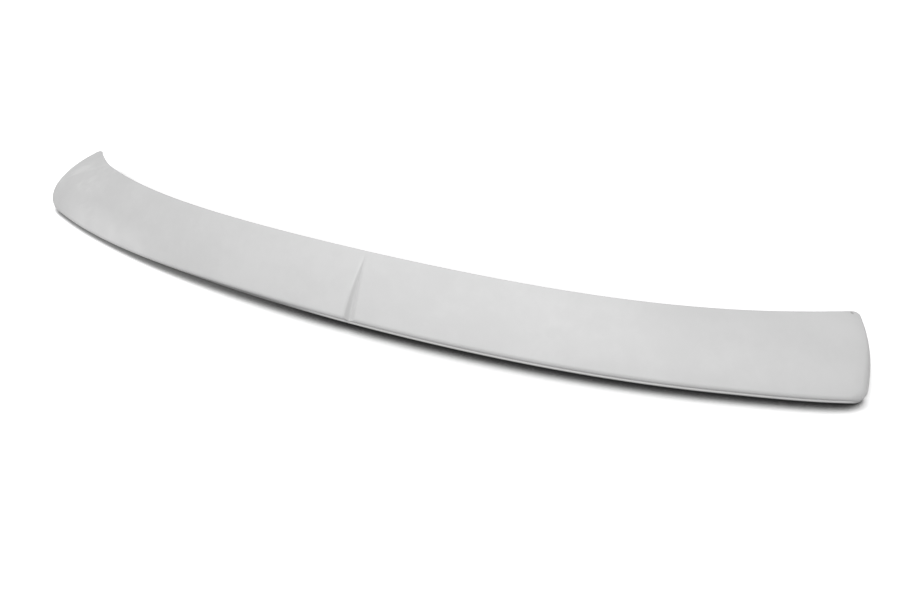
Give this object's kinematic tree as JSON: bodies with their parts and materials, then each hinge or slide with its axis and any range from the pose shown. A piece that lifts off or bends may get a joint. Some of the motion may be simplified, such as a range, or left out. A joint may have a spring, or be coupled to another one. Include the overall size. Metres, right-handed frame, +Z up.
{
  "type": "roof spoiler",
  "caption": "Slim curved roof spoiler shell with rolled edges, ends that sweep forward to a tip, a small lip along its trailing edge and a tapering centre groove; bonds to the rear edge of a car roof.",
  "frame": {"origin": "centre of the bounding box in plan, on the floor that the trailing rim stands on", "axes": "+X along the span to the car's right, +Y forward to the leading edge, +Z up"},
  "size_m": [1.1198, 0.192, 0.0779],
  "materials": {
    "shell": "satin pale grey gelcoat with faint rubbing marks"
  },
  "bodies": {
    "root": {"spoiler_shell": "shell"}
  },
  "joints": []
}
